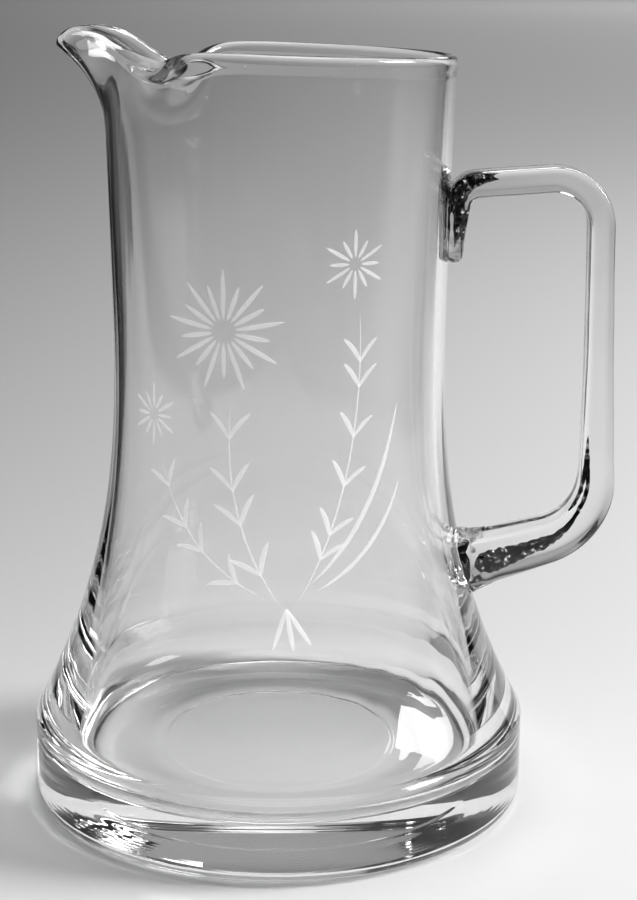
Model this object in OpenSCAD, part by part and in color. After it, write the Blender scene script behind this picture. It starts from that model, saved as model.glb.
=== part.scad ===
// Blown clear-glass cocktail pitcher with a heavy base, a pulled pouring lip and an applied handle.
// The body's axis is Z, the lip points to -X, the handle to +X, and the foot ring rests on Z = 0.

/* [Body outside] */
// Height of the rim, measured on the axis
rim_h = 210; // [195:1:230]
// Outer diameter of the rim
rim_d = 95; // [90:0.2:104]
// Outer diameter of the waist
waist_d = 91.4; // [84:0.2:94]
// Height of the waist
waist_h = 129; // [110:1:145]
// Outer diameter of the base band
base_d = 139; // [125:1:150]
// Height of the shoulder where the base band meets the flare
shoulder_h = 25; // [21:0.5:30]
// Rounding of the shoulder
shoulder_r = 2.5; // [1.5:0.5:8]
// Rounding of the foot's outer edge
foot_edge_r = 5; // [2:0.5:8]
// How sharply the wall flares towards the base
flare_power = 2.4; // [2:0.1:3]
// How sharply the wall opens towards the rim
mouth_power = 1.5; // [1.2:0.1:2]

/* [Body inside] */
// Wall at the rim
rim_wall = 2.6; // [2:0.1:3.4]
// Wall at the waist
waist_wall = 2.9; // [2.2:0.1:3.6]
// Wall at the shoulder
shoulder_wall = 10.5; // [8:0.5:12]
// How sharply the wall thickens towards the base
heel_power = 4; // [3:0.5:5]
// Height of the floor's edge above the table
floor_h = 13; // [10:0.5:16]
// Rounding between the wall and the floor
cove_r = 8.5; // [6:0.5:10]
// Rise of the floor's middle above its edge
floor_crown = 1; // [0.2:0.1:2]

/* [Underside] */
// Inner diameter of the flat foot ring
kick_d = 82; // [76:1:92]
// Diameter of the recess past its sloping edge
kick_top_d = 66; // [58:1:72]
// Depth of the recess at its sloping edge
kick_h = 0.25; // [0.15:0.05:2]
// Further rise of the recess to its middle
kick_dome = 0.5; // [0.2:0.1:2]

/* [Pouring lip] */
// Height of the zone below the rim that the lip is pulled from
lip_zone_h = 24; // [20:1:28]
// How far the lip's tip stands out past the rim
lip_reach = 12.2; // [8:0.2:15]
// Half angle of the pulled tip
lip_spread = 12.5; // [11:0.5:16]
// How sharply the lip bends outwards
lip_power = 2.3; // [1.8:0.1:2.8]
// Rise of the lip's sides above the rim
lip_rise = 4.2; // [2:0.1:6]
// Half angle of the raised stretch
rise_spread = 26; // [22:1:30]
// Dip at the very tip, where the drink runs off
tip_drop = 3.3; // [1:0.1:5]
// Half angle of the tip's dip
tip_spread = 6.5; // [5:0.5:9]
// Angle from the lip to the pinch on either side of it
pinch_angle = 42; // [38:1:46]
// Half angle of a pinch
pinch_spread = 17; // [13:0.5:19]
// How far a pinch pushes the rim inwards
pinch_in = 6.5; // [2:0.1:8]
// How far a pinch pushes the rim down
pinch_drop = 5.4; // [3:0.1:7]
// Rise of the rim towards the lip, and fall towards the handle
rim_tilt = 1.5; // [0:0.1:3]
// Thickness of the fire-polished bead along the rim
bead_t = 2.9; // [2.6:0.1:3.6]
// Height over which the wall swells into the bead
bead_h = 4; // [3:0.5:7]

/* [Handle] */
// Distance from the waist's wall to the middle of the upright
handle_reach = 43.2; // [38:0.2:48]
// Lean of the upright towards the body at its top
handle_lean = 1.9; // [0:0.1:3]
// Height of the upper leg
top_leg_h = 177; // [165:0.5:180]
// Fall of the upper leg towards the wall
top_leg_fall = 3; // [1:0.1:5]
// Height at which the lower leg leaves the wall
low_leg_h = 67; // [60:0.5:72]
// Rise of the lower leg from the wall to the upright
low_leg_rise = 12; // [8:0.5:18]
// Bend radius of the lower corner
low_bend_r = 20; // [15:0.5:23]
// Bend radius of the upper corner
top_bend_r = 13; // [9:0.5:16]
// Bend radius where the upper end turns down the wall
tail_bend_r = 5.5; // [5:0.25:7]
// Height at which the drawn-down tail ends
tail_end_h = 153; // [146:0.5:157]
// Thickness of the rod where it leaves the lower seal
rod_low_t = 15.2; // [12:0.1:17]
// Width of the rod where it leaves the lower seal
rod_low_w = 16; // [12:0.1:18]
// Thickness of the rod along its upper half
rod_top_t = 7; // [6.5:0.1:9]
// Width of the rod along its upper half
rod_top_w = 13; // [9:0.2:15]
// Length over which the rod thins upwards
rod_taper = 108; // [90:1:125]
// Thickness of the lower seal on the wall
seal_t = 17.5; // [15:0.2:20]
// Width of the lower seal on the wall
seal_w = 20; // [16:0.2:24]
// Length over which the rod spreads into the lower seal
seal_len = 9; // [6:0.5:12]
// Thickness of the tail near its end
tail_t = 5; // [4:0.1:6]
// Width of the tail near its end
tail_w = 11; // [8:0.2:14]
// How deep the tail is pressed onto the wall
tail_sink = 1.2; // [0.8:0.1:2]
// Squareness of the section's inner half, where 2 is an ellipse
inner_power = 7; // [2.5:0.5:8]
// Squareness of the section's outer half at the lower seal
outer_low_power = 2; // [2:0.1:3]
// Squareness of the section's outer half along the upper half
outer_top_power = 8; // [2.5:0.5:9]
// Where the section is widest at the lower seal, as a share of the way from its middle to its inner face
belly_low = 0.7; // [0:0.05:0.8]
// The same along the upper half
belly_top = 0; // [0:0.05:0.4]
// Squareness of the tail's section
tail_power = 2.5; // [2:0.1:4]

/* [Hidden] */
$fn = 96;
clear_glass = [0.86, 0.90, 0.90, 0.45];

rim_r = rim_d / 2;
waist_r = waist_d / 2;
base_r = base_d / 2;
kick_r = kick_d / 2;
kick_top_r = kick_top_d / 2;
lip_z = rim_h - lip_zone_h;

// Steps along curved stretches of the outlines
arc_steps = 8;
wall_steps = 24;
kick_steps = 8;
floor_steps = 6;
// Rings and ribs of the lip, closer together near its tip
lip_ribs = 96;
lip_rings = 10;
rim_steps = 6;
rib_power = 1.4;
// How deep the lip's lower edge is rooted in the wall, and its step from the wall's faces
lip_root = 1.5;
lip_step = 0.05;
// Rings of the handle's bends and legs, and sides of its section
bend_steps = 8;
leg_step = 4;
rod_sides = 32;
// How fully the tail's end is rounded, where 1 comes to a point
tail_round = 0.95;
// Share of the bead's height at which it keeps its full thickness
bead_full = 0.25;
// Small steps for measured slopes, in mm, in degrees and as a share of the lip's height
slope_dz = 0.01;
slope_da = 0.5;
slope_ds = 0.01;

function mix(a, b, t) = a + (b - a) * t;
function smooth(t) = t * t * (3 - 2 * t);
function unit(v) = v / norm(v);
function bump(a, spread) = exp(-pow(a / spread, 2));
function plateau(a, spread) = exp(-pow(a / spread, 4));

// Share of the way from a to b, kept between 0 and 1
function share(x, a, b) = min(max((x - a) / (b - a), 0), 1);

// Radius of the outer wall before the base band cuts it
function outer_r(z) = z < waist_h
    ? waist_r + (base_r - waist_r) * pow((waist_h - z) / (waist_h - shoulder_h), flare_power)
    : waist_r + (rim_r - waist_r) * pow((z - waist_h) / (rim_h - waist_h), mouth_power);

// Horizontal thickness of the wall
function wall_t(z) = z < waist_h
    ? mix(waist_wall, shoulder_wall, pow((waist_h - z) / (waist_h - shoulder_h), heel_power))
    : mix(waist_wall, rim_wall, (z - waist_h) / (rim_h - waist_h));

function inner_r(z) = outer_r(z) - wall_t(z);

// Angle of a wall's slope from the vertical, positive where it widens downwards
function outer_slope(z) = atan((outer_r(z - slope_dz) - outer_r(z + slope_dz)) / (2 * slope_dz));
function inner_slope(z) = atan((inner_r(z - slope_dz) - inner_r(z + slope_dz)) / (2 * slope_dz));

shoulder_a = outer_slope(shoulder_h);
shoulder_z = shoulder_h - shoulder_r * tan(shoulder_a / 2);
flare_z = shoulder_z + shoulder_r * sin(shoulder_a);
cove_a = inner_slope(floor_h + cove_r);
cove_z = floor_h + cove_r * (1 + sin(cove_a));
floor_r = inner_r(cove_z) - cove_r * cos(cove_a);

// Underside from the axis to the foot ring
kick_outline = [
    for (i = [0 : kick_steps]) let (t = i / kick_steps)
        [kick_top_r * t, kick_h + kick_dome * (1 - t * t)],
    for (i = [1 : kick_steps]) let (t = i / kick_steps)
        [mix(kick_top_r, kick_r, t), kick_h * (1 - smooth(t))]
];

// Outer wall from the foot ring to the lip's zone
wall_outline = [
    for (i = [0 : arc_steps]) let (a = 90 * i / arc_steps)
        [base_r - foot_edge_r * (1 - sin(a)), foot_edge_r * (1 - cos(a))],
    for (i = [0 : arc_steps]) let (a = shoulder_a * i / arc_steps)
        [base_r - shoulder_r * (1 - cos(a)), shoulder_z + shoulder_r * sin(a)],
    for (i = [1 : wall_steps]) let (z = mix(flare_z, lip_z, i / wall_steps))
        [outer_r(z), z]
];

// Inner wall and floor from the lip's zone to the axis
hollow_outline = [
    for (i = [0 : wall_steps - 1]) let (z = mix(lip_z, cove_z, i / wall_steps))
        [inner_r(z), z],
    for (i = [0 : arc_steps]) let (a = mix(cove_a, -90, i / arc_steps))
        [floor_r + cove_r * cos(a), floor_h + cove_r * (1 + sin(a))],
    for (i = [1 : floor_steps]) let (t = i / floor_steps)
        [floor_r * (1 - t), floor_h + floor_crown * (1 - pow(1 - t, 2))]
];

// Angle from the lip's direction, for each rib
function rib_a(i) = let (u = 2 * i / lip_ribs - 1) sign(u) * 180 * pow(abs(u), rib_power);

function pinch(a) = bump(abs(a) - pinch_angle, pinch_spread);

// How far the rim's middle surface is pushed out, and where it ends, at an angle from the lip
function rim_push(a) = lip_reach * bump(a, lip_spread) - pinch_in * pinch(a);
function rim_z(a) = rim_h - bead_t / 2 + rim_tilt * cos(a) + lip_rise * plateau(a, rise_spread)
    - tip_drop * bump(a, tip_spread) - pinch_drop * pinch(a);

// Middle surface of the lip's zone, as radius and height, from its root at 0 to the rim at 1
function lip_mid(s, a) = let (z = mix(lip_z, rim_z(a), s))
    [outer_r(z) - wall_t(z) / 2 + rim_push(a) * pow(max(s, 0), lip_power), z];

// Section thickness with the bead, made up for where the wall runs aslant round the axis
function lip_t(s, a) = let (
        turn = (lip_mid(s, a + slope_da)[0] - lip_mid(s, a - slope_da)[0]) / (2 * slope_da * PI / 180),
        slant = turn / lip_mid(s, a)[0],
        z = lip_mid(s, a)[1],
        bead = smooth(share(z, rim_z(a) - bead_h, rim_z(a) - bead_h * bead_full)))
    mix(wall_t(z), bead_t, bead) * sqrt(1 + slant * slant) - 2 * lip_step;

function lip_up(s, a) = unit(lip_mid(s + slope_ds, a) - lip_mid(s - slope_ds, a));
function lip_out(s, a) = let (up = lip_up(s, a)) [up[1], -up[0]];

// Closed section through the lip's zone at an angle, going up outside, over the rim and down inside
function lip_section(a) = let (
        root = [0, -lip_root],
        foot = lip_mid(0, a),
        half = [lip_t(0, a) / 2, 0],
        top = lip_mid(1, a),
        out = lip_out(1, a) * lip_t(1, a) / 2,
        up = lip_up(1, a) * lip_t(1, a) / 2)
    [
        foot + root + half,
        for (k = [0 : lip_rings]) let (s = k / lip_rings)
            lip_mid(s, a) + lip_out(s, a) * lip_t(s, a) / 2,
        for (k = [1 : rim_steps - 1]) let (b = 180 * k / rim_steps)
            top + out * cos(b) + up * sin(b),
        for (k = [lip_rings : -1 : 0]) let (s = k / lip_rings)
            lip_mid(s, a) - lip_out(s, a) * lip_t(s, a) / 2,
        foot + root - half
    ];

// Two triangles between neighbouring loops of points, with both directions closed or only the loops
function loop_faces(loops, count, closed) = [
    for (i = [0 : loops - (closed ? 1 : 2)]) for (k = [0 : count - 1])
        let (j = (i + 1) % loops, m = (k + 1) % count)
            for (f = [[i * count + k, i * count + m, j * count + m],
                      [i * count + k, j * count + m, j * count + k]]) f
];

module pouring_lip() {
    sections = [for (i = [0 : lip_ribs - 1]) lip_section(rib_a(i))];
    count = len(sections[0]);
    points = [for (i = [0 : lip_ribs - 1]) let (a = 180 + rib_a(i)) for (p = sections[i])
        [p[0] * cos(a), p[0] * sin(a), p[1]]];
    polyhedron(points, loop_faces(lip_ribs, count, true));
}

// The body filled up inside, which the handle's ends are cut to
module body_core() {
    rotate_extrude() polygon(concat(
        [[0, 0], [base_r - foot_edge_r, 0]],
        wall_outline,
        [[0, lip_z]]
    ));
}

module body() {
    color(clear_glass) {
        rotate_extrude() polygon(concat(kick_outline, wall_outline, hollow_outline));
        pouring_lip();
    }
}

// Corners of the handle's middle line in the XZ plane, from the lower seal to the tail
upright_x = waist_r + handle_reach;
tail_x = outer_r(top_leg_h) + rod_top_t / 2 - tail_sink;
low_end = [outer_r(low_leg_h) - seal_len, low_leg_h - low_leg_rise * seal_len / handle_reach];
low_corner = [upright_x, low_leg_h + low_leg_rise];
top_corner = [upright_x - handle_lean, top_leg_h];
tail_corner = [tail_x, top_leg_h - top_leg_fall];
tail_end = [outer_r(tail_end_h) + tail_t / 2 - tail_sink, tail_end_h];

// Points along an arc that rounds the corner b between a and c
function bend(a, b, c, r) = let (
        u = unit(a - b),
        v = unit(c - b),
        half = acos(u * v) / 2,
        centre = b + unit(u + v) * r / sin(half),
        start = b + u * r / tan(half),
        from = start - centre,
        side = sign(u[0] * v[1] - u[1] * v[0]),
        sweep = -side * (180 - 2 * half))
    [for (i = [0 : bend_steps]) let (t = sweep * i / bend_steps)
        centre + [from[0] * cos(t) - from[1] * sin(t), from[0] * sin(t) + from[1] * cos(t)]];

// Points between a and b, without their ends
function leg(a, b) = let (n = ceil(norm(b - a) / leg_step))
    [for (i = [1 : 1 : n - 1]) mix(a, b, i / n)];

low_bend = bend(low_end, low_corner, top_corner, low_bend_r);
top_bend = bend(low_corner, top_corner, tail_corner, top_bend_r);
tail_bend = bend(top_corner, tail_corner, tail_end, tail_bend_r);
handle_path = concat(
    [low_end], leg(low_end, low_bend[0]),
    low_bend, leg(low_bend[bend_steps], top_bend[0]),
    top_bend, leg(top_bend[bend_steps], tail_bend[0]),
    tail_bend, leg(tail_bend[bend_steps], tail_end),
    [tail_end]
);

// Lengths along the handle's middle line
function run(path, i) = i == 0 ? 0 : run(path, i - 1) + norm(path[i] - path[i - 1]);
handle_run = [for (i = [0 : len(handle_path) - 1]) run(handle_path, i)];
handle_len = handle_run[len(handle_run) - 1];
wall_run = norm([outer_r(low_leg_h), low_leg_h] - low_end);
tail_len = norm(tail_end - tail_bend[0]);

// How far the rod has changed from its lower to its upper form at a length along it
function upper(x) = 1 - pow(1 - share(x, wall_run, wall_run + rod_taper), 2);

// How far the rod has been drawn down into its tail at a length along it
function drawn(x) = smooth(share(x, handle_len - tail_len, handle_len - tail_t / 2));

// Thickness or width of the rod at a length along it: seal, lower leg, upper half, tail
function rod_size(x, seal, low, top, tail) = let (
        spread = 1 - share(x, wall_run, wall_run + seal_len),
        body = mix(low, top, upper(x)),
        size = mix(body, tail, drawn(x)),
        over = share(x, handle_len - tail_t / 2, handle_len))
    mix(size, seal, spread * spread) * sqrt(1 - pow(over * tail_round, 2));

function path_dir(path, i) = let (n = len(path) - 1)
    unit(path[min(i + 1, n)] - path[max(i - 1, 0)]);

// A point of the rod's section at a length along it, from -1 to 1 each way and inner side first
function rod_point(k, x) = let (
        a = 360 * k / rod_sides,
        inner = cos(a) > 0,
        free_power = inner ? inner_power : mix(outer_low_power, outer_top_power, upper(x)),
        power = mix(free_power, tail_power, drawn(x)),
        reach = pow(pow(abs(cos(a)), power) + pow(abs(sin(a)), power), -1 / power),
        belly = mix(belly_low, belly_top, upper(x)))
    [belly + reach * cos(a) * (inner ? 1 - belly : 1 + belly), reach * sin(a)];

module handle_rod() {
    rings = len(handle_path);
    points = [for (i = [0 : rings - 1]) let (
            p = handle_path[i],
            d = path_dir(handle_path, i),
            t = rod_size(handle_run[i], seal_t, rod_low_t, rod_top_t, tail_t) / 2,
            w = rod_size(handle_run[i], seal_w, rod_low_w, rod_top_w, tail_w) / 2)
        for (k = [0 : rod_sides - 1]) let (q = rod_point(k, handle_run[i]))
            [p[0] - d[1] * t * q[0], w * q[1], p[1] + d[0] * t * q[0]]];
    last = (rings - 1) * rod_sides;
    caps = [for (k = [1 : rod_sides - 2]) each [[0, k + 1, k], [last, last + k, last + k + 1]]];
    polyhedron(points, concat(loop_faces(rings, rod_sides, false), caps));
}

module handle() {
    color(clear_glass) difference() {
        handle_rod();
        body_core();
    }
}

body();
handle();
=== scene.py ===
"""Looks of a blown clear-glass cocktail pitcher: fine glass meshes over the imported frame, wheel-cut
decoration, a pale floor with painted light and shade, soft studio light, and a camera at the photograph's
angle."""

import math

import bpy
import numpy as np
from mathutils import Euler, Matrix, Vector, noise


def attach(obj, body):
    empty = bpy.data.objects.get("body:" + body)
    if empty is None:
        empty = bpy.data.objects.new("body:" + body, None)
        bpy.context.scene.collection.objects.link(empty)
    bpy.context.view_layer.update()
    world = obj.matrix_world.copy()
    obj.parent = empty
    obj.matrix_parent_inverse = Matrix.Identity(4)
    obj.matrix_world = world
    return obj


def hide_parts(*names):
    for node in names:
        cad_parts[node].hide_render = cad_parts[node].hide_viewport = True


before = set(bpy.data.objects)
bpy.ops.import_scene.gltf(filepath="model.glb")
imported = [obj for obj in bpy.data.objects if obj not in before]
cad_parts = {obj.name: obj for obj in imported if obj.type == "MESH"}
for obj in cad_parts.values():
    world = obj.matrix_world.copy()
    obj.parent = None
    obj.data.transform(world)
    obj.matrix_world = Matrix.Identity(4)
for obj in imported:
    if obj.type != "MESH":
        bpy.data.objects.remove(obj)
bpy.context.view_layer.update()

# Sizes of the pitcher in millimetres and degrees, the same values as in the part's source
MM = 0.001
RIM_H, RIM_R, RIM_WALL = 210.0, 47.5, 2.6
WAIST_H, WAIST_R, WAIST_WALL = 129.0, 45.7, 2.9
BASE_R, FOOT_EDGE_R = 69.5, 5.0
SHOULDER_H, SHOULDER_R, SHOULDER_WALL = 25.0, 2.5, 10.5
FLARE_POWER, MOUTH_POWER, HEEL_POWER = 2.4, 1.5, 4.0
FLOOR_H, FLOOR_CROWN, COVE_R = 13.0, 1.0, 8.5
KICK_R, KICK_TOP_R, KICK_H, KICK_DOME = 41.0, 33.0, 0.25, 0.5
LIP_ZONE_H, LIP_REACH, LIP_SPREAD, LIP_POWER = 24.0, 12.2, 12.5, 2.3
LIP_RISE, RISE_SPREAD, TIP_DROP, TIP_SPREAD = 4.2, 26.0, 3.3, 6.5
PINCH_ANGLE, PINCH_SPREAD, PINCH_IN, PINCH_DROP = 42.0, 17.0, 6.5, 5.4
RIM_TILT, BEAD_T, BEAD_H, BEAD_FULL = 1.5, 2.9, 4.0, 0.25
HANDLE_REACH, HANDLE_LEAN = 43.2, 1.9
TOP_LEG_H, TOP_LEG_FALL, LOW_LEG_H, LOW_LEG_RISE = 177.0, 3.0, 67.0, 12.0
LOW_BEND_R, TOP_BEND_R, TAIL_BEND_R, TAIL_END_H = 20.0, 13.0, 5.5, 153.0
ROD_LOW_T, ROD_LOW_W, ROD_TOP_T, ROD_TOP_W, ROD_TAPER = 15.2, 16.0, 7.0, 13.0, 108.0
SEAL_T, SEAL_W, SEAL_LEN = 17.5, 20.0, 9.0
TAIL_T, TAIL_W, TAIL_SINK, TAIL_ROUND = 5.0, 11.0, 1.2, 0.95
INNER_POWER, OUTER_LOW_POWER, OUTER_TOP_POWER = 7.0, 2.0, 8.0
BELLY_LOW, BELLY_TOP = 0.7, 0.0
TAIL_POWER = 2.5
LIP_Z = RIM_H - LIP_ZONE_H

# Small forms beyond the part's source: one pinch deeper than the other, a thicker rim in the pinches,
# the sharp edge of the recess and the marks of its grinding
PINCH_UNEVEN, PINCH_FOLD = 1.2, 0.4
KICK_EDGE, KICK_EDGE_SHARE = 1.6, 0.65
GRIND_HEIGHT, GRIND_STEP = 0.003, 2.3

# Camera, in millimetres and degrees: distance from the axis, height, turn round the axis, aim
CAM_DISTANCE, CAM_HEIGHT, CAM_TURN = 535.0, 229.8, 3.0
CAM_PITCH, CAM_YAW, CAM_ROLL = 13.683, 1.174, 0.343
CAM_LENS, CAM_SENSOR = 78.62, 36.0


def mix(a, b, t):
    return a + (b - a) * t


def smooth(t):
    return t * t * (3 - 2 * t)


def share(x, a, b):
    return np.clip((x - a) / (b - a), 0.0, 1.0)


def bell(a, spread):
    return np.exp(-((a / spread) ** 2))


def plateau(a, spread):
    return np.exp(-((a / spread) ** 4))


def outer_r(z):
    """Radius of the outer wall at a height, before the base band cuts it."""
    z = np.asarray(z, float)
    low = np.clip((WAIST_H - z) / (WAIST_H - SHOULDER_H), 0, None) ** FLARE_POWER
    high = np.clip((z - WAIST_H) / (RIM_H - WAIST_H), 0, None) ** MOUTH_POWER
    return WAIST_R + (BASE_R - WAIST_R) * low + (RIM_R - WAIST_R) * high


def wall_t(z):
    """Horizontal thickness of the wall at a height."""
    z = np.asarray(z, float)
    low = np.clip((WAIST_H - z) / (WAIST_H - SHOULDER_H), 0, None) ** HEEL_POWER
    high = np.clip((z - WAIST_H) / (RIM_H - WAIST_H), 0, None)
    return WAIST_WALL + (SHOULDER_WALL - WAIST_WALL) * low + (RIM_WALL - WAIST_WALL) * high


def inner_r(z):
    return outer_r(z) - wall_t(z)


def slope(radius, z, step=0.01):
    """Angle of a wall from the vertical, positive where it widens downwards."""
    return math.atan((radius(z - step) - radius(z + step)) / (2 * step))


# The body: a grid of ribs round the axis and rings along the section
RIBS = 320
RIB_CROWDING = 0.22
KICK_RINGS, EDGE_RINGS, FOOT_RINGS, ARC_RINGS, BAND_RINGS = 14, 8, 44, 10, 5
FLARE_RINGS, WALL_RINGS, LIP_RINGS, RIM_RINGS = 36, 18, 22, 12
HOLLOW_RINGS, COVE_RINGS, FLOOR_RINGS = 56, 12, 18


def outline(r, z):
    return np.column_stack(np.broadcast_arrays(np.asarray(r, float), np.asarray(z, float)))


def steps(count, first=False):
    t = np.linspace(0, 1, count + 1)
    return t if first else t[1:]


def foot_outline():
    """Underside and outer wall from the axis to the lip's zone, as radius and height."""
    kick, edge, foot, arc = steps(KICK_RINGS), steps(EDGE_RINGS), steps(FOOT_RINGS), steps(ARC_RINGS)
    drop = KICK_H * KICK_EDGE_SHARE
    ring = mix(KICK_R, BASE_R - FOOT_EDGE_R, foot)
    ground = GRIND_HEIGHT * (1 + np.sin(2 * math.pi * ring / GRIND_STEP)) * np.sin(math.pi * foot)
    lean = slope(outer_r, SHOULDER_H)
    shoulder_z = SHOULDER_H - SHOULDER_R * math.tan(lean / 2)
    flare_z = shoulder_z + SHOULDER_R * math.sin(lean)
    round_off, turn = arc * math.pi / 2, arc * lean
    flare = mix(flare_z, WAIST_H, steps(FLARE_RINGS))
    wall = mix(WAIST_H, LIP_Z, steps(WALL_RINGS))
    return np.vstack([
        outline(KICK_TOP_R * kick, KICK_H + KICK_DOME * (1 - kick ** 2)),
        outline(KICK_TOP_R + KICK_EDGE * edge, KICK_H - drop * smooth(edge)),
        outline(mix(KICK_TOP_R + KICK_EDGE, KICK_R, kick), (KICK_H - drop) * (1 - smooth(kick))),
        outline(ring, ground),
        outline(BASE_R - FOOT_EDGE_R * (1 - np.sin(round_off)), FOOT_EDGE_R * (1 - np.cos(round_off))),
        outline(BASE_R, mix(FOOT_EDGE_R, shoulder_z, steps(BAND_RINGS))),
        outline(BASE_R - SHOULDER_R * (1 - np.cos(turn)), shoulder_z + SHOULDER_R * np.sin(turn)),
        outline(outer_r(flare), flare),
        outline(outer_r(wall), wall),
    ])


def hollow_outline():
    """Inner wall and floor from the lip's zone to the axis, as radius and height."""
    lean = slope(inner_r, FLOOR_H + COVE_R)
    cove_z = FLOOR_H + COVE_R * (1 + math.sin(lean))
    floor_r = float(inner_r(cove_z)) - COVE_R * math.cos(lean)
    wall = mix(LIP_Z, cove_z, steps(HOLLOW_RINGS, first=True))
    turn = mix(lean, -math.pi / 2, steps(COVE_RINGS))
    floor = steps(FLOOR_RINGS)[:-1]
    return np.vstack([
        outline(inner_r(wall), wall),
        outline(floor_r + COVE_R * np.cos(turn), FLOOR_H + COVE_R * (1 + np.sin(turn))),
        outline(floor_r * (1 - floor), FLOOR_H + FLOOR_CROWN * (1 - (1 - floor) ** 2)),
    ])


def pinch(a):
    return bell(np.abs(a) - PINCH_ANGLE, PINCH_SPREAD)


def rim_z(a):
    raised = LIP_RISE * plateau(a, RISE_SPREAD) - TIP_DROP * bell(a, TIP_SPREAD)
    lowered = (PINCH_DROP - PINCH_UNEVEN * np.sign(a)) * pinch(a)
    return RIM_H - BEAD_T / 2 + RIM_TILT * np.cos(np.radians(a)) + raised - lowered


def lip_mid(s, a):
    """Middle surface of the lip's zone, from its root at 0 to the rim at 1."""
    z = mix(LIP_Z, rim_z(a), s)
    push = LIP_REACH * bell(a, LIP_SPREAD) - PINCH_IN * pinch(a)
    return outer_r(z) - wall_t(z) / 2 + push * np.maximum(s, 0) ** LIP_POWER, z


def lip_frame(s, a, ds=0.01, da=0.5):
    """Middle point, unit direction up the section and half thickness of the lip's zone."""
    r, z = lip_mid(s, a)
    above, below = lip_mid(s + ds, a), lip_mid(s - ds, a)
    up_r, up_z = above[0] - below[0], above[1] - below[1]
    length = np.hypot(up_r, up_z)
    slant = (lip_mid(s, a + da)[0] - lip_mid(s, a - da)[0]) / (2 * math.radians(da)) / r
    bead = smooth(share(z, rim_z(a) - BEAD_H, rim_z(a) - BEAD_H * BEAD_FULL))
    thick = mix(wall_t(z), BEAD_T * (1 + PINCH_FOLD * pinch(a)), bead)
    return r, z, up_r / length, up_z / length, thick / 2 * np.sqrt(1 + slant ** 2)


def lip_sections(a):
    """Outer side, round rim and inner side of the lip's zone for a column of angles from the lip."""
    s = steps(LIP_RINGS)[None, :]
    r, z, up_r, up_z, half = lip_frame(s, a)
    outside = r + up_z * half, z - up_r * half
    inside = (r - up_z * half)[:, ::-1], (z + up_r * half)[:, ::-1]
    top_r, top_z, up_r, up_z, half = lip_frame(np.ones((1, 1)), a)
    turn = steps(RIM_RINGS)[None, :-1] * math.pi
    rim_r = top_r + half * (up_z * np.cos(turn) + up_r * np.sin(turn))
    rim = rim_r, top_z + half * (-up_r * np.cos(turn) + up_z * np.sin(turn))
    return [np.hstack(parts) for parts in zip(outside, rim, inside)]


# Hand-blown unevenness of the walls, as slow lumps and fine upright streaks: depth of the wave, waves round
# the wall, millimetres up the wall per radian, and share of the phase. It dies out at the base and the lip.
LUMPS = ((0.06, 3, 26.0, 1), (0.03, 5, -19.0, 2))
STREAKS = ((0.010, 23, math.inf, 3), (0.007, 41, math.inf, 5))
INNER_PHASE, OUTER_PHASE = 0.7, 2.9
CALM_BASE, CALM_LIP = (SHOULDER_H, SHOULDER_H + 15.0), (LIP_Z - 10.0, RIM_H - 4.0)


def ripple(table, theta, z, phase):
    """Sum of the waves of a table."""
    total = 0.0
    for depth, count, rise, shift in table:
        total = total + depth * np.sin(count * theta + z / rise + shift * phase)
    return total


def waviness(theta, z, phase):
    """How far a wall stands out from its even form, in millimetres."""
    calm = share(z, *CALM_BASE) * (1 - share(z, *CALM_LIP))
    return calm * (ripple(LUMPS, theta, z, phase) + ripple(STREAKS, theta, z, phase))


def body_grid():
    """Radius and height of every grid point, with the rib angles and the count of outer rings."""
    u = np.arange(RIBS) / RIBS * 2 * math.pi
    theta = (u - RIB_CROWDING * np.sin(2 * u))[:, None]
    from_lip = (np.degrees(theta) % 360) - 180
    foot, hollow = foot_outline(), hollow_outline()
    lip_r, lip_z = lip_sections(from_lip)
    r = np.hstack([np.tile(foot[:, 0], (RIBS, 1)), lip_r, np.tile(hollow[:, 0], (RIBS, 1))])
    z = np.hstack([np.tile(foot[:, 1], (RIBS, 1)), lip_z, np.tile(hollow[:, 1], (RIBS, 1))])
    outer_count = len(foot) + LIP_RINGS
    inner = np.arange(r.shape[1])[None, :] >= outer_count
    r = r + np.where(inner, waviness(theta, z, INNER_PHASE), waviness(theta, z, OUTER_PHASE))
    return theta, r, z, outer_count


def make_object(name, verts, faces, materials, slots=None):
    """A smooth-shaded mesh object from points in millimetres, with a material index per face."""
    mesh = bpy.data.meshes.new(name)
    mesh.from_pydata((np.asarray(verts) * MM).tolist(), [], faces)
    for material in materials:
        mesh.materials.append(material)
    if slots is not None:
        mesh.polygons.foreach_set("material_index", np.asarray(slots, np.int32))
    mesh.polygons.foreach_set("use_smooth", np.ones(len(faces), bool))
    mesh.update()
    piece = bpy.data.objects.new(name, mesh)
    bpy.context.scene.collection.objects.link(piece)
    return piece


def inside_any(points, quads):
    """Which points lie in any of the convex quads, both as (y, z)."""
    hit = np.zeros(len(points), bool)
    for quad in quads:
        edge = np.roll(quad, -1, axis=0) - quad
        gap = points[:, None, :] - quad[None, :, :]
        cross = edge[None, :, 0] * gap[:, :, 1] - edge[None, :, 1] * gap[:, :, 0]
        hit |= (cross >= 0).all(1) | (cross <= 0).all(1)
    return hit


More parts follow.
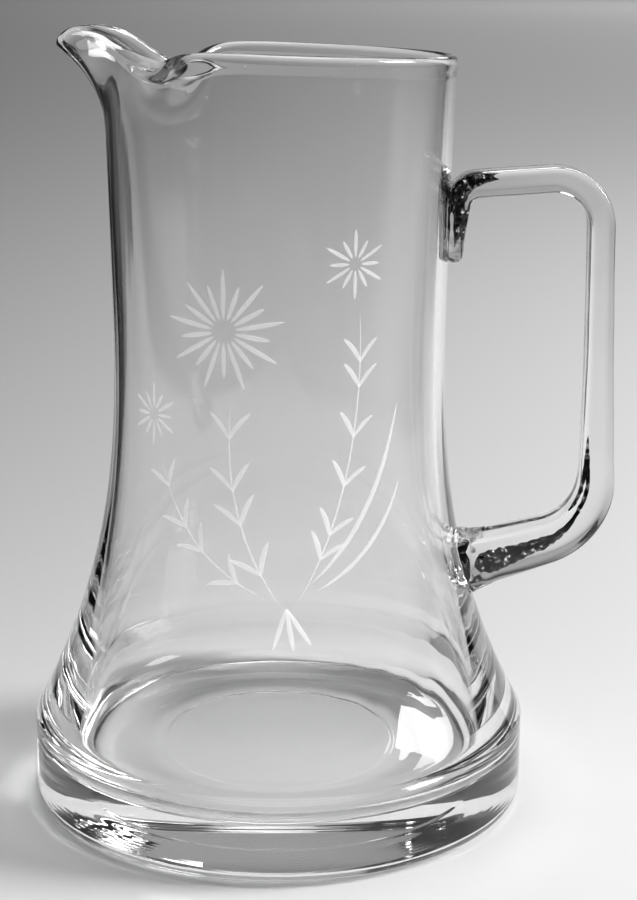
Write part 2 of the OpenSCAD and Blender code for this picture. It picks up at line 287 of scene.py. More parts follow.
def make_body(glass, fused, contact_quads):
    """The body's mesh, with the seam's material where the handle is welded on."""
    theta, r, z, outer_count = body_grid()
    rings = r.shape[1]
    x, y = r * np.cos(theta), r * np.sin(theta)
    verts = np.stack([x, y, z], axis=-1).reshape(-1, 3)
    low, high = len(verts), len(verts) + 1
    verts = np.vstack([verts, [[0, 0, KICK_H + KICK_DOME], [0, 0, FLOOR_H + FLOOR_CROWN]]])
    faces = []
    near_handle = []
    for i in range(RIBS):
        j = (i + 1) % RIBS
        for k in range(rings - 1):
            if k < outer_count and abs(y[i, k]) < SEAL_W and x[i, k] > 0:
                near_handle.append(len(faces))
            faces.append((i * rings + k, j * rings + k, j * rings + k + 1, i * rings + k + 1))
        faces.append((low, j * rings, i * rings))
        faces.append((high, i * rings + rings - 1, j * rings + rings - 1))
    slots = np.zeros(len(faces), int)
    centres = np.array([verts[list(faces[f])].mean(0)[1:] for f in near_handle])
    slots[np.array(near_handle)[inside_any(centres, contact_quads)]] = 1
    return make_object("pitcher_body", verts, faces, [glass, fused], slots)


# The handle: a rod swept along a filleted line in the XZ plane
ROD_SIDES, ROD_STEP, END_STEP, PATH_STEP = 72, 1.0, 0.4, 0.2
SEAL_RINGS, SEAL_CROWDING, CAP_RINGS = 26, 1.3, 5
HALVINGS, TOUCH_GAP = 40, 0.01

# Its tool marks in millimetres, each with a seed for its noise: folds at the lower seal, lumps at the
# tail, and slow swells of the whole rod
FOLD_HEIGHT, FOLD_REACH, FOLD_START, FOLD_SIZE, FOLD_SEED = 0.55, 5.5, 0.8, 2.4, 1.0
LUMP_HEIGHT, LUMP_REACH, LUMP_START, LUMP_SIZE, LUMP_SEED = 0.55, 8.0, 0.6, 2.0, 2.0
SWELL_HEIGHT, SWELL_START, SWELL_SIZE, SWELL_SEED = 0.16, (4.0, 20.0), 17.0, 3.0


def fillet(a, b, c, radius, count=60):
    """Points along an arc that rounds the corner b between a and c."""
    u, v = (a - b) / np.linalg.norm(a - b), (c - b) / np.linalg.norm(c - b)
    half = math.acos(float(u @ v)) / 2
    centre = b + (u + v) / np.linalg.norm(u + v) * radius / math.sin(half)
    arm = b + u * radius / math.tan(half) - centre
    side = math.copysign(1, u[0] * v[1] - u[1] * v[0])
    turn = -side * (math.pi - 2 * half) * steps(count, first=True)
    cos, sin = np.cos(turn), np.sin(turn)
    return centre + np.column_stack([arm[0] * cos - arm[1] * sin, arm[0] * sin + arm[1] * cos])


class Rod:
    """The handle's middle line and section, by the length run along it."""

    def __init__(self):
        wall_x = float(outer_r(LOW_LEG_H))
        upright = WAIST_R + HANDLE_REACH
        low_end = np.array([wall_x - SEAL_LEN, LOW_LEG_H - LOW_LEG_RISE * SEAL_LEN / HANDLE_REACH])
        low = np.array([upright, LOW_LEG_H + LOW_LEG_RISE])
        top = np.array([upright - HANDLE_LEAN, TOP_LEG_H])
        tail_x = float(outer_r(TOP_LEG_H)) + ROD_TOP_T / 2 - TAIL_SINK
        tail = np.array([tail_x, TOP_LEG_H - TOP_LEG_FALL])
        end = np.array([float(outer_r(TAIL_END_H)) + TAIL_T / 2 - TAIL_SINK, TAIL_END_H])
        bends = [
            fillet(low_end, low, top, LOW_BEND_R),
            fillet(low, top, tail, TOP_BEND_R),
            fillet(top, tail, end, TAIL_BEND_R),
        ]
        corners = np.vstack([low_end[None], *bends, end[None]])
        run = np.r_[0, np.cumsum(np.linalg.norm(np.diff(corners, axis=0), axis=1))]
        self.length = run[-1]
        self.run = np.linspace(0, self.length, int(self.length / PATH_STEP))
        self.x = np.interp(self.run, run, corners[:, 0])
        self.z = np.interp(self.run, run, corners[:, 1])
        dx, dz = np.gradient(self.x), np.gradient(self.z)
        self.dx, self.dz = dx / np.hypot(dx, dz), dz / np.hypot(dx, dz)
        self.wall_run = float(np.linalg.norm([wall_x - low_end[0], LOW_LEG_H - low_end[1]]))
        self.tail_len = float(np.linalg.norm(end - bends[2][0]))

    def upper(self, s):
        """How far the rod has changed from its lower to its upper form at a run."""
        return 1 - (1 - share(s, self.wall_run, self.wall_run + ROD_TAPER)) ** 2

    def drawn(self, s):
        """How far the rod has been drawn down into its tail at a run."""
        return smooth(share(s, self.length - self.tail_len, self.length - TAIL_T / 2))

    def size(self, s, seal, low, top, tail):
        """Thickness or width at a run: seal, lower leg, upper half and tail."""
        spread = 1 - share(s, self.wall_run, self.wall_run + SEAL_LEN)
        body = mix(low, top, self.upper(s))
        drawn = self.drawn(s)
        over = share(s, self.length - TAIL_T / 2, self.length)
        return mix(mix(body, tail, drawn), seal, spread ** 2) * np.sqrt(1 - (over * TAIL_ROUND) ** 2)

    def point(self, s, turn, swell=0.0):
        """A point of the surface at a run and an angle round the section, swollen in millimetres."""
        upper = self.upper(s)
        inner = np.cos(turn) > 0
        power = np.where(inner, INNER_POWER, mix(OUTER_LOW_POWER, OUTER_TOP_POWER, upper))
        power = mix(power, TAIL_POWER, self.drawn(s))
        reach = (np.abs(np.cos(turn)) ** power + np.abs(np.sin(turn)) ** power) ** (-1 / power)
        belly = mix(BELLY_LOW, BELLY_TOP, upper)
        t = self.size(s, SEAL_T, ROD_LOW_T, ROD_TOP_T, TAIL_T) / 2 + swell
        w = self.size(s, SEAL_W, ROD_LOW_W, ROD_TOP_W, TAIL_W) / 2 + swell
        dx, dz = np.interp(s, self.run, self.dx), np.interp(s, self.run, self.dz)
        across = t * (belly + reach * np.cos(turn) * np.where(inner, 1 - belly, 1 + belly))
        x = np.interp(s, self.run, self.x) - dz * across
        z = np.interp(s, self.run, self.z) + dx * across
        return np.stack(np.broadcast_arrays(x, w * reach * np.sin(turn), z), axis=-1)


def wall_gap(points):
    """How far points stand outside the body's outer wall, level with them."""
    return np.hypot(points[..., 0], points[..., 1]) - outer_r(points[..., 2])


def seal_runs(rod, turn):
    """The run at which each line along the rod comes out of the wall, found by halving."""
    inside, outside = np.zeros_like(turn), np.full_like(turn, rod.wall_run + SEAL_LEN)
    for _ in range(HALVINGS):
        middle = (inside + outside) / 2
        out = wall_gap(rod.point(middle, turn)) > 0
        inside, outside = np.where(out, inside, middle), np.where(out, middle, outside)
    return outside


def crinkle(points, size, seed):
    """Noise from about -1 to 1 at each point, with features of a size in millimetres."""
    flat = points.reshape(-1, 3)
    shift = Vector((seed, 2.7 * seed, -1.3 * seed))
    values = [noise.noise(Vector(p) / size + shift) for p in flat]
    return np.array(values).reshape(points.shape[:-1])


def press_on_wall(points):
    """Points inside the wall are moved out onto it. Also says which ones were."""
    gap = wall_gap(points)
    pressed = gap < TOUCH_GAP
    radius = np.hypot(points[..., 0], points[..., 1])
    scale = np.where(pressed, (radius - gap) / radius, 1.0)
    moved = points.copy()
    moved[..., 0] *= scale
    moved[..., 1] *= scale
    return moved, pressed


def seal_cap(ring):
    """Points that close the lower seal along the wall, and its quads as (y, z)."""
    loops = [ring[:, 1:]]
    centre = ring[:, 1:].mean(0)
    for c in range(1, CAP_RINGS):
        loops.append(mix(ring[:, 1:], centre, c / CAP_RINGS))
    quads = []
    for outer, inner in zip(loops, loops[1:] + [np.tile(centre, (len(ring), 1))]):
        for k in range(len(ring)):
            m = (k + 1) % len(ring)
            quads.append(np.array([outer[k], outer[m], inner[m], inner[k]]))
    flat = np.vstack(loops[1:] + [centre[None]])
    x = np.sqrt(outer_r(flat[:, 1]) ** 2 - flat[:, 0] ** 2)
    return np.column_stack([x, flat]), quads


def handle_rings(rod):
    """Rings of points along the handle, and which of them are pressed on the wall."""
    turn = np.arange(ROD_SIDES) / ROD_SIDES * 2 * math.pi
    free = rod.wall_run + 2 * SEAL_LEN
    start = seal_runs(rod, turn)
    seal_s = mix(start[None, :], free, (steps(SEAL_RINGS, first=True) ** SEAL_CROWDING)[:, None])
    rod_s = np.arange(free + ROD_STEP, rod.length, ROD_STEP)
    rod_s = np.r_[rod_s, rod.length - END_STEP, rod.length]
    s = np.vstack([seal_s, np.tile(rod_s[:, None], (1, ROD_SIDES))])
    turns = np.tile(turn, (len(s), 1))
    plain = rod.point(s, turns)
    from_seal, to_end = s - start[None, :], rod.length - s
    folds = FOLD_HEIGHT * bell(from_seal, FOLD_REACH) * share(from_seal, 0, FOLD_START)
    lumps = LUMP_HEIGHT * bell(to_end, LUMP_REACH) * share(to_end, 0, LUMP_START)
    marks = folds * crinkle(plain, FOLD_SIZE, FOLD_SEED) + lumps * crinkle(plain, LUMP_SIZE, LUMP_SEED)
    slow = SWELL_HEIGHT * crinkle(plain, SWELL_SIZE, SWELL_SEED) * share(from_seal, *SWELL_START)
    points, pressed = press_on_wall(rod.point(s, turns, marks + slow))
    pressed[0] = True
    return points, pressed


def make_handle(glass, fused):
    """The handle's mesh, and the quads of its contact with the wall as (y, z)."""
    points, pressed = handle_rings(Rod())
    cap, quads = seal_cap(points[0])
    verts = np.vstack([points.reshape(-1, 3), cap, points[-1].mean(0)[None]])
    last, first_cap = (len(points) - 1) * ROD_SIDES, len(points) * ROD_SIDES
    hub, tip = len(verts) - 2, len(verts) - 1
    faces, slots = [], []
    for i in range(len(points) - 1):
        here, ahead = i * ROD_SIDES, (i + 1) * ROD_SIDES
        for k in range(ROD_SIDES):
            m = (k + 1) % ROD_SIDES
            faces.append((here + k, ahead + k, ahead + m, here + m))
            touching = pressed[i:i + 2, [k, m]].all()
            slots.append(int(touching))
            if touching:
                quads.append(verts[list(faces[-1]), 1:])
    loops = [0] + list(range(first_cap, hub, ROD_SIDES))
    for outer, inner in zip(loops, loops[1:]):
        for k in range(ROD_SIDES):
            m = (k + 1) % ROD_SIDES
            faces.append((outer + k, outer + m, inner + m, inner + k))
            slots.append(1)
    for k in range(ROD_SIDES):
        m = (k + 1) % ROD_SIDES
        faces.append((loops[-1] + k, loops[-1] + m, hub))
        faces.append((last + m, last + k, tip))
        slots += [1, 0]
    return make_object("pitcher_handle", verts, faces, [glass, fused], slots), quads


# Dark mirror films shut in the handle as painted shade, in millimetres: a long one drawn out along the
# lower leg and measured from the wall, and a short one in the upper bend, measured from the handle's end.
# Each knot is the run along the rod, the radius, the offset towards the loop's inside, the flatness across
# and the offset across.
FILM_SIDES, FILM_STEP, FILM_RUFFLE, RUFFLE_SIZE, RUFFLE_SEED = 24, 0.4, 0.3, 1.8, 5.0
LEG_FILM = (
    (2.5, 0.1, 0.2, 0.6, -4.0),
    (3.1, 1.6, 0.2, 0.6, -4.0),
    (4.5, 2.7, 0.1, 0.6, -4.0),
    (8.0, 3.0, 0.1, 0.6, -4.0),
    (14.0, 2.5, 0.3, 0.6, -4.0),
    (22.0, 1.8, 0.7, 0.6, -4.0),
    (28.0, 1.1, 1.3, 0.6, -4.0),
    (36.0, 0.55, 2.3, 0.7, -3.0),
    (60.0, 0.3, 2.7, 0.7, -2.0),
    (74.0, 0.05, 2.7, 0.7, -2.0),
)
BEND_FILM = (
    (-30.0, 0.05, -1.0, 1.6, 0.0),
    (-27.0, 0.9, -1.3, 1.6, 0.0),
    (-23.0, 1.8, -0.6, 1.6, 0.0),
    (-19.0, 1.9, -0.2, 1.6, 0.0),
    (-12.0, 1.2, 0.2, 1.6, 0.0),
    (-6.0, 0.4, 0.3, 1.6, 0.0),
    (-4.0, 0.05, 0.3, 1.6, 0.0),
)


def film_points(rod, origin, knots):
    """Rings of points along a closed tube with a ruffled surface."""
    knots = np.array(knots)
    knots[:, 0] += origin
    s = np.arange(knots[0, 0], knots[-1, 0], FILM_STEP)
    radius, offset, flat, aside = (np.interp(s, knots[:, 0], knots[:, i])[:, None] for i in (1, 2, 3, 4))
    s = s[:, None]
    turn = (np.arange(FILM_SIDES) / FILM_SIDES * 2 * math.pi)[None, :]

    def tube(radius):
        dx, dz = np.interp(s, rod.run, rod.dx), np.interp(s, rod.run, rod.dz)
        across = offset + radius * np.cos(turn)
        x = np.interp(s, rod.run, rod.x) - dz * across
        z = np.interp(s, rod.run, rod.z) + dx * across
        return np.stack(np.broadcast_arrays(x, aside + flat * radius * np.sin(turn), z), axis=-1)

    return tube(radius * (1 + FILM_RUFFLE * crinkle(tube(radius), RUFFLE_SIZE, RUFFLE_SEED)))


def make_films(shade_film_paint):
    """Both dark films of painted shade in one mesh, each a tube closed at its ends."""
    rod = Rod()
    films = (film_points(rod, rod.wall_run, LEG_FILM), film_points(rod, rod.length, BEND_FILM))
    verts, faces = [], []
    for points in films:
        first, rings = sum(len(v) for v in verts), len(points)
        verts += [points.reshape(-1, 3), points[0].mean(0)[None], points[-1].mean(0)[None]]
        last, hub = first + (rings - 1) * FILM_SIDES, first + rings * FILM_SIDES
        for k in range(FILM_SIDES):
            m = (k + 1) % FILM_SIDES
            for i in range(first, last, FILM_SIDES):
                faces.append((i + k, i + FILM_SIDES + k, i + FILM_SIDES + m, i + m))
            faces += [(first + k, first + m, hub), (last + m, last + k, hub + 1)]
    return make_object("handle_painted_shade_films", np.vstack(verts), faces, [shade_film_paint])


# Wheel cuts: a spray of star flowers on the front wall, as thin lens-shaped strokes. Places are the
# distance round the wall from its front line and the height, in millimetres.
CUT_PROUD, CUT_RISE, CUT_STEPS, CUT_BLUNT = 0.03, 0.12, 12, 0.002
SHORT_PETAL, STEM_WIDTH = 0.72, 0.5
LEAF_ANGLE, LEAF_WIDTH, LEAF_BOW = 38.0, 1.3, -0.5


def stroke(u, z, angle, length, width, bow=0.0):
    """A lens-shaped cut from a place, at an angle from upright, bowed sideways by some millimetres."""
    t = steps(CUT_STEPS, first=True)
    along, aside = length * t, bow * 4 * t * (1 - t)
    sin, cos = math.sin(math.radians(angle)), math.cos(math.radians(angle))
    half = width / 2 * np.sqrt(np.sin(math.pi * t) + CUT_BLUNT)
    line = np.column_stack([u + sin * along + cos * aside, z + cos * along - sin * aside])
    lead = np.gradient(line, axis=0)
    lead /= np.linalg.norm(lead, axis=1)[:, None]
    side = np.column_stack([lead[:, 1], -lead[:, 0]]) * half[:, None]
    return line - side, line, line + side, half


def flower(u, z, petals, inner, outer, width):
    """A star of cuts round a place, every second one shorter."""
    cuts = []
    for i in range(petals):
        turn = 360 * i / petals
        length = (outer - inner) * (1.0 if i % 2 == 0 else SHORT_PETAL)
        sin, cos = math.sin(math.radians(turn)), math.cos(math.radians(turn))
        cuts.append(stroke(u + inner * sin, z + inner * cos, turn, length, width))
    return cuts


def sprig(u, z, angle, length, bow, leaves, leaf):
    """A bowed stem with pairs of slender leaves along it."""
    stem = stroke(u, z, angle, length, STEM_WIDTH, bow)
    cuts = [stem]
    for i in range(leaves):
        k = round(CUT_STEPS * (i + 1) / (leaves + 1))
        ahead = stem[1][k + 1] - stem[1][k - 1]
        turn = math.degrees(math.atan2(ahead[0], ahead[1]))
        for hand in (-1, 1):
            cuts.append(stroke(*stem[1][k], turn + hand * LEAF_ANGLE, leaf, LEAF_WIDTH, hand * LEAF_BOW))
    return cuts


def cut_design():
    """The spray: three flowers, three sprigs, two blades and a tuft where they meet."""
    cuts = flower(-12, 141, 18, 3.0, 16.0, 1.3)
    cuts += flower(22, 158, 12, 1.6, 9.0, 1.0)
    cuts += flower(-34, 117, 12, 1.6, 8.5, 1.0)
    cuts += sprig(3, 70, -14, 54, -5.0, 4, 9.0)
    cuts += sprig(6, 70, 13, 78, 6.0, 6, 8.0)
    cuts += sprig(0, 72, -42, 46, -5.0, 4, 8.0)
    cuts += [stroke(10, 76, 30, 52, 1.5, 4.0), stroke(11, 74, 44, 36, 1.3, 3.0)]
    cuts += [stroke(4, 70, angle, 11, 1.1) for angle in (150, 172, 196)]
    return cuts


def on_wall(points, proud):
    """Places on the front wall as points, standing proud of it."""
    theta = points[:, 0] / WAIST_R - math.pi / 2
    r = outer_r(points[:, 1]) + waviness(theta, points[:, 1], OUTER_PHASE) + proud
    return np.column_stack([r * np.cos(theta), r * np.sin(theta), points[:, 1]])


def make_cuts(frosted):
    """All strokes in one mesh, each a closed ridge of three sides."""
    verts, faces = [], []
    for left, line, right, half in cut_design():
        first = sum(len(v) for v in verts)
        crest = CUT_PROUD + CUT_RISE * half / half.max()
        verts += [on_wall(left, CUT_PROUD), on_wall(line, crest), on_wall(right, CUT_PROUD)]
        n = CUT_STEPS + 1
        for k in range(CUT_STEPS):
            a, b, c = first + k, first + n + k, first + 2 * n + k
            faces += [(a, b, b + 1, a + 1), (b, c, c + 1, b + 1), (c, a, a + 1, c + 1)]
        last = first + n - 1
        faces += [(first, first + 2 * n, first + n), (last, last + n, last + 2 * n)]
    return make_object("wheel_cuts", np.vstack(verts), faces, [frosted])


# Materials. Waves of the glass are given as a count per metre, a stretch along the height and a height in
# metres. The dark film's noise makes a mottle of painted shade and a few light flecks as painted glints.
GLASS_IOR = 1.5
BODY_WAVES, HANDLE_WAVES = (160.0, 0.12, 0.00002), (260.0, 0.35, 0.00004)
# The cuts' glow is a painted glow, light of their own in place of the light that ground glass scatters.
CUT_ROUGHNESS, CUT_ALPHA, CUT_PAINTED_GLOW = 0.6, 0.22, 0.5
FILM_GRAIN, FILM_DETAIL, FILM_ROUGHNESS = 620.0, 3.0, 0.12
MOTTLE_NOISE, MOTTLE_TONES = (0.44, 0.58), (0.003, 0.10)
FLECK_NOISE, FLECK_TONES = (0.575, 0.64), (0.0, 0.7)
WHITE = (1.0, 1.0, 1.0, 1.0)


class Graph:
    """Adds nodes to a shader tree and links them."""

    def __init__(self, tree):
        self.nodes, self.links = tree.nodes, tree.links

    def node(self, kind, output=0, inputs=(), **settings):
        """A new node with its settings, and its sockets linked or filled by name. Returns an output."""
        node = self.nodes.new(kind)
        for key, value in settings.items():
            setattr(node, key, value)
        for key, value in dict(inputs).items():
            if isinstance(value, bpy.types.NodeSocket):
                self.links.new(value, node.inputs[key])
            else:
                node.inputs[key].default_value = value
        return node.outputs[output]

    def math(self, operation, a, b=0.0):
        return self.node("ShaderNodeMath", inputs={0: a, 1: b}, operation=operation)

    def product(self, first, *others):
        for other in others:
            first = self.math("MULTIPLY", first, other)
        return first

    def grey(self, tone):
        return self.node("ShaderNodeCombineColor", inputs={0: tone, 1: tone, 2: tone})

    def ease(self, value, low, high, start=0.0, end=1.0, shape="SMOOTHSTEP"):
        """A value mapped from low..high to start..end, and held there outside."""
        sockets = {"Value": value, "From Min": low, "From Max": high, "To Min": start, "To Max": end}
        return self.node("ShaderNodeMapRange", inputs=sockets, interpolation_type=shape)

    def axes(self, coordinates):
        """X, Y and Z of a kind of texture coordinates."""
        node = self.nodes.new("ShaderNodeSeparateXYZ")
        self.links.new(self.node("ShaderNodeTexCoord", output=coordinates), node.inputs[0])
        return node.outputs


def new_material(name):
    material = bpy.data.materials.new(name)
    material.use_nodes = True
    return material, Graph(material.node_tree), material.node_tree.nodes["Principled BSDF"]


def clear_glass(name, wave_scale, wave_stretch, wave_height):
    """Clear glass with the faint waves that blowing leaves in its surface."""
    material, graph, shader = new_material(name)
    shader.inputs["Base Color"].default_value = WHITE
    shader.inputs["Roughness"].default_value = 0.0
    shader.inputs["IOR"].default_value = GLASS_IOR
    shader.inputs["Transmission Weight"].default_value = 1.0
    place = graph.node("ShaderNodeTexCoord", output="Object")
    scale = (wave_scale, wave_scale, wave_scale * wave_stretch)
    stretched = graph.node("ShaderNodeMapping", inputs={"Vector": place, "Scale": scale})
    waves = graph.node("ShaderNodeTexNoise", inputs={"Vector": stretched, "Scale": 1.0, "Detail": 2.0})
    _, _, z = graph.axes("Object")
    strength = graph.ease(z, SHOULDER_H * MM, 2 * SHOULDER_H * MM)
    sockets = {"Strength": strength, "Height": waves, "Distance": wave_height}
    graph.links.new(graph.node("ShaderNodeBump", inputs=sockets), shader.inputs["Normal"])
    return material


def frosted_cut_with_painted_glow():
    """The unpolished ground of a wheel cut, with a painted glow of its own in place of the light it
    scatters.
    """
    material, _, shader = new_material("frosted_cut_with_painted_glow")
    shader.inputs["Base Color"].default_value = WHITE
    shader.inputs["Roughness"].default_value = CUT_ROUGHNESS
    shader.inputs["Alpha"].default_value = CUT_ALPHA
    shader.inputs["Emission Color"].default_value = WHITE
    shader.inputs["Emission Strength"].default_value = CUT_PAINTED_GLOW
    return material


def painted_shade_film():
    """A dark mirror sheet shut in the glass, painted shade that throws back the dark side of the room, with
    a few light flecks as painted glints.
    """
    material, graph, shader = new_material("painted_shade_film")
    place = graph.node("ShaderNodeTexCoord", output="Object")
    sockets = {"Vector": place, "Scale": FILM_GRAIN, "Detail": FILM_DETAIL}
    grain = graph.node("ShaderNodeTexNoise", inputs=sockets)
    mottle = graph.ease(grain, *MOTTLE_NOISE, *MOTTLE_TONES)
    tone = graph.math("ADD", mottle, graph.ease(grain, *FLECK_NOISE, *FLECK_TONES))
    graph.links.new(graph.grey(tone), shader.inputs["Base Color"])
    shader.inputs["Metallic"].default_value = 1.0
    shader.inputs["Roughness"].default_value = FILM_ROUGHNESS
    return material


def fused_seam():
    """The hot weld inside the glass, where nothing is to be seen."""
    material, graph, shader = new_material("fused_seam")
    graph.nodes.remove(shader)
    clear = graph.node("ShaderNodeBsdfTransparent")
    graph.links.new(clear, graph.nodes["Material Output"].inputs["Surface"])
    return material


# Studio, in metres, degrees from straight ahead, linear tones and watts, with the limit of the side slope
# in radians. The board's paint is painted light and shade: pale round the pitcher, falling off with
# distance and leaning to the right as the light does, with a painted dark strip on either side and a dimmer
# board beyond.
FLOOR_RADIUS, FLOOR_SIDES, FLOOR_DROP = 40.0, 96, 0.0002
FLOOR_ROUGHNESS, FLOOR_SPECULAR = 0.9, 0.1
NEAR_TONE, FAR_TONE, TONE_POWER = 0.77, 0.555, 4.8
SIDE_SLOPE_FAR, SIDE_SLOPE_NEAR, SIDE_LIMIT = 2.0, 0.3, 0.2
LEFT_LIT, LEFT_DARK, LEFT_DIM, LEFT_FAR = -14.5, -17.0, -25.0, -34.0
RIGHT_LIT, RIGHT_DARK, RIGHT_DIM, RIGHT_FAR = 26.0, 34.0, 42.0, 54.0
FRONT_FAR, FRONT_LIT, DIM_SHARE = -0.40, -0.16, 0.36
ALWAYS_LIT, DARK_TONE = 0.16, 0.006

# The board under the base: a disc of painted light, with a painted soft shade under the foot ring that
# fades to front and left
UNDER_TONE, UNDER_BASE = 1.28, (0.055, 0.066)
RING_SHADE, RING_INSIDE, RING_OUTSIDE = 0.5, (0.036, 0.041), (0.056, 0.064)
RING_FRONT, RING_FRONT_SHARE = (-0.02, 0.03), 0.3
RING_LEFT, RING_LEFT_SHARE = (-0.05, -0.02), 0.2

# The dome: bands of light by the sine of their height, dimmer towards the left and the front
GAP_LIGHT, MID_LIGHT, MID_DOME = 0.01, 0.3, (0.36, 0.46)
HIGH_LIGHT, HIGH_DOME = 4.4, (0.9, 0.97)
BACKDROP_LIGHT, BACKDROP_TOP = 0.34, (0.15, 0.36)
BRIGHT_SIDE, DIM_SIDE, DIM_SPAN = (0.8, 0.6), 0.05, (-0.6, 0.5)

# Two soft lamps, both aimed at the pitcher
LAMP_AIM = (0.0, 0.0, 0.08)
KEY_PLACE, KEY_SIZE, KEY_WATTS = (1.7, 0.0, 1.05), (0.75, 0.75), 42.0
PANEL_PLACE, PANEL_SIZE, PANEL_WATTS = (4.2, 16.0, 6.5), (3.1, 2.5), 180.0


def lit_window(graph, bearing):
    """Light straight ahead, and on either side a dark strip with dimmer light beyond it."""
    left = graph.ease(bearing, math.radians(LEFT_DARK), math.radians(LEFT_LIT))
    beyond = graph.ease(bearing, math.radians(LEFT_FAR), math.radians(LEFT_DIM), DIM_SHARE, 0.0)
    right = graph.ease(bearing, math.radians(RIGHT_LIT), math.radians(RIGHT_DARK), 1.0, 0.0)
    past = graph.ease(bearing, math.radians(RIGHT_DIM), math.radians(RIGHT_FAR), 0.0, DIM_SHARE)
    return graph.product(graph.math("MAXIMUM", left, beyond), graph.math("MAXIMUM", right, past))


def board_tone(graph, y, bearing):
    """Painted light: a tone that falls off with distance behind the pitcher and leans to the right."""
    closeness = graph.math("DIVIDE", 1.0, graph.math("ADD", 1.0, graph.math("MAXIMUM", y, 0.0)))
    tone = graph.math("POWER", closeness, TONE_POWER)
    tone = graph.ease(tone, 0.0, 1.0, FAR_TONE, NEAR_TONE, "LINEAR")
    aside = graph.ease(bearing, -SIDE_LIMIT, SIDE_LIMIT, -SIDE_LIMIT, SIDE_LIMIT, "LINEAR")
    steep = graph.ease(closeness, 0.0, 1.0, SIDE_SLOPE_FAR, SIDE_SLOPE_NEAR, "LINEAR")
    lean = graph.math("ADD", 1.0, graph.product(aside, steep))
    return graph.product(tone, lean)


def under_base(graph, x, y, distance):
    """Two factors on the tone under the base: the disc of painted light and the painted shade of the foot
    ring.
    """
    disc = graph.ease(distance, *UNDER_BASE, UNDER_TONE, 1.0)
    ring = graph.product(
        graph.ease(distance, *RING_INSIDE),
        graph.ease(distance, *RING_OUTSIDE, 1.0, 0.0),
        graph.ease(y, *RING_FRONT, RING_FRONT_SHARE, 1.0),
        graph.ease(x, *RING_LEFT, RING_LEFT_SHARE, 1.0),
    )
    return disc, graph.ease(ring, 0.0, 1.0, 1.0, 1.0 - RING_SHADE, "LINEAR")


def floor_painted_light():
    """Painted light and shade on the board, in strips fixed in place that fan out from a point before the
    pitcher.
    """
    material, graph, shader = new_material("floor_painted_light")
    shader.inputs["Roughness"].default_value = FLOOR_ROUGHNESS
    shader.inputs["Specular IOR Level"].default_value = FLOOR_SPECULAR
    x, y, _ = graph.axes("Object")
    distance = graph.math("SQRT", graph.math("ADD", graph.product(x, x), graph.product(y, y)))
    bearing = graph.math("ARCTAN2", x, graph.math("ADD", y, CAM_DISTANCE * MM))
    front = graph.ease(y, FRONT_FAR, FRONT_LIT, DIM_SHARE, 1.0)
    near = graph.ease(distance, ALWAYS_LIT, 2 * ALWAYS_LIT, 1.0, 0.0)
    # The lit window is a painted pool of light between painted dark strips.
    lit = graph.math("MAXIMUM", graph.product(lit_window(graph, bearing), front), near)
    paint = graph.math("MAXIMUM", graph.product(board_tone(graph, y, bearing), lit), DARK_TONE)
    paint = graph.product(paint, *under_base(graph, x, y, distance))
    graph.links.new(graph.grey(paint), shader.inputs["Base Color"])
    return material


def make_floor():
    turn = np.arange(FLOOR_SIDES) / FLOOR_SIDES * 2 * math.pi
    rim = np.column_stack([np.cos(turn), np.sin(turn), 0 * turn]) * FLOOR_RADIUS / MM
    floor = make_object("studio_floor", rim, [tuple(range(FLOOR_SIDES))], [floor_painted_light()])
    floor.location.z = -FLOOR_DROP


def soft_light(name, place, size, watts):
    data = bpy.data.lights.new(name, "AREA")
    data.shape = "RECTANGLE"
    data.size, data.size_y = size
    data.energy = watts
    lamp = bpy.data.objects.new(name, data)
    lamp.location = place
    lamp.rotation_euler = (Vector(LAMP_AIM) - Vector(place)).to_track_quat("-Z", "Y").to_euler()
    bpy.context.scene.collection.objects.link(lamp)


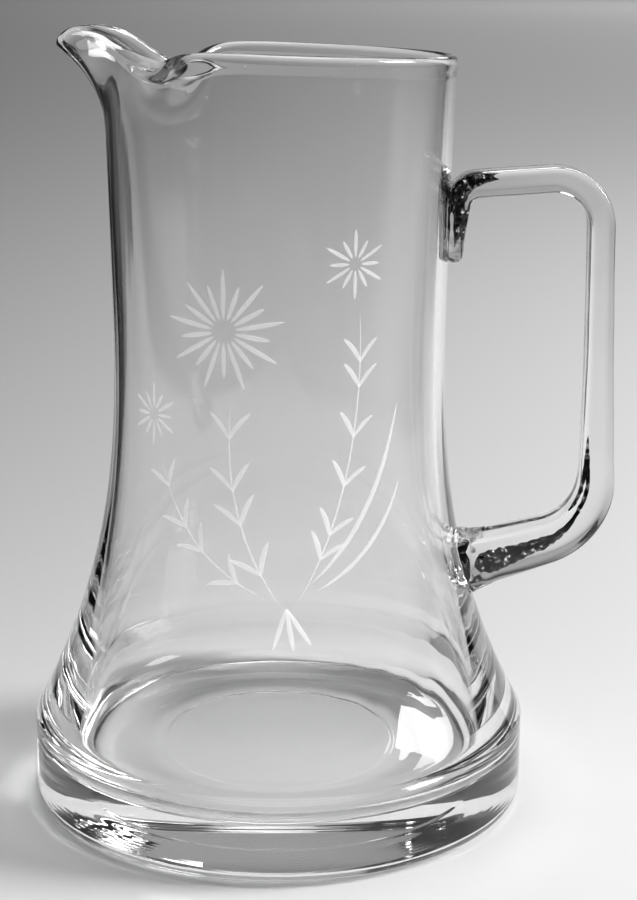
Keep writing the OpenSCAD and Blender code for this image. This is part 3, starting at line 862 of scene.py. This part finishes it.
def make_dome():
    """Soft light from above, dimmer towards the horizon and towards the left and front."""
    world = bpy.data.worlds.new("studio_dome")
    world.use_nodes = True
    graph = Graph(world.node_tree)
    x, y, z = graph.axes("Generated")
    middle = graph.ease(z, *MID_DOME, GAP_LIGHT, MID_LIGHT)
    height = graph.math("ADD", middle, graph.ease(z, *HIGH_DOME, 0.0, HIGH_LIGHT))
    along = graph.math("ADD", graph.product(x, BRIGHT_SIDE[0]), graph.product(y, BRIGHT_SIDE[1]))
    side = graph.ease(along, *DIM_SPAN, DIM_SIDE, 1.0)
    sweep = graph.ease(z, *BACKDROP_TOP, BACKDROP_LIGHT, 0.0)
    sweep = graph.product(sweep, lit_window(graph, graph.math("ARCTAN2", x, y)))
    glow = graph.math("ADD", graph.product(height, side), sweep)
    backdrop = graph.nodes["Background"]
    graph.links.new(glow, backdrop.inputs["Strength"])
    backdrop.inputs["Color"].default_value = WHITE
    bpy.context.scene.world = world


def make_studio():
    make_floor()
    make_dome()
    soft_light("key_softbox", KEY_PLACE, KEY_SIZE, KEY_WATTS)
    soft_light("back_panel", PANEL_PLACE, PANEL_SIZE, PANEL_WATTS)


def make_camera():
    turn, away = math.radians(CAM_TURN), CAM_DISTANCE * MM
    data = bpy.data.cameras.new("photo_camera")
    data.sensor_fit = "VERTICAL"
    data.sensor_height = CAM_SENSOR
    data.lens = CAM_LENS
    camera = bpy.data.objects.new("photo_camera", data)
    camera.location = (away * math.sin(turn), -away * math.cos(turn), CAM_HEIGHT * MM)
    aim = Euler((math.pi / 2 - math.radians(CAM_PITCH), 0, turn - math.radians(CAM_YAW)))
    roll = Matrix.Rotation(math.radians(CAM_ROLL), 3, "Z")
    camera.rotation_euler = (aim.to_matrix() @ roll).to_euler()
    bpy.context.scene.collection.objects.link(camera)
    bpy.context.scene.camera = camera


def set_light_paths():
    """Enough bounces for light to find its way through thick glass, and no blur on the way."""
    scene = bpy.context.scene
    scene.cycles.max_bounces = 24
    scene.cycles.transmission_bounces = 24
    scene.cycles.glossy_bounces = 12
    scene.cycles.transparent_max_bounces = 32
    scene.cycles.blur_glossy = 0.0
    scene.view_settings.view_transform = "Standard"


make_camera()
make_studio()
set_light_paths()
fused = fused_seam()
handle, contact_quads = make_handle(clear_glass("handle_glass", *HANDLE_WAVES), fused)
body = make_body(clear_glass("body_glass", *BODY_WAVES), fused, contact_quads)
cuts = make_cuts(frosted_cut_with_painted_glow())
films = make_films(painted_shade_film())
pieces = ((body, "body_glass"), (handle, "handle_glass"), (cuts, "body_glass"), (films, "handle_glass"))
for piece, slot in pieces:
    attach(piece, "root")
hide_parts("body")
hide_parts("handle")
